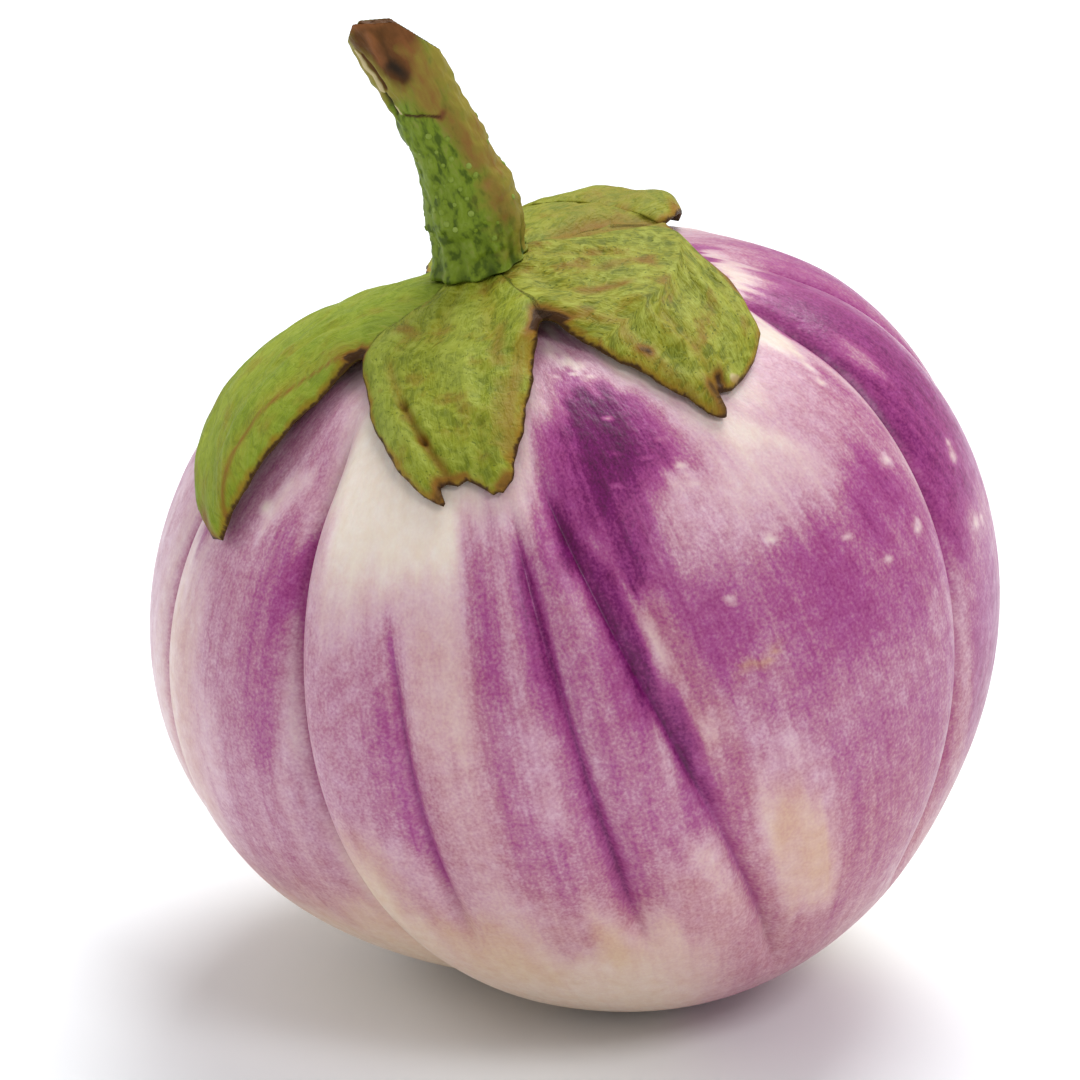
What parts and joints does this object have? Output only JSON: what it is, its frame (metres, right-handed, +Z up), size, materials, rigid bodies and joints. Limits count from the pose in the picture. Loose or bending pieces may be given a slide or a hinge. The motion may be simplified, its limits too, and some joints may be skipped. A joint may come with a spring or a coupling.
{
  "type": "round eggplant",
  "caption": "Round ribbed eggplant with lilac and cream skin, a green calyx of pointed sepals and a short cut stalk, standing on a small flat spot.",
  "frame": {"origin": "centre of the small flat spot that the fruit rests on, at the level of the ground", "axes": "+Z up, -Y towards the viewer of the picture, +X to the viewer's right; the fruit's own axis leans to the left and a little to the front"},
  "size_m": [0.1104, 0.1099, 0.1295],
  "materials": {
    "fruit_skin": "waxy fruit skin, lilac to magenta streaks over cream, softly glossy",
    "calyx_leaf": "matt leathery green leaf with pale veins and brown dried edges",
    "stalk_bark": "matt green to olive bark, warty, brown and dry at the cut end"
  },
  "bodies": {
    "root": {"fruit": "fruit_skin", "calyx": "calyx_leaf", "stalk": "stalk_bark"}
  },
  "joints": []
}
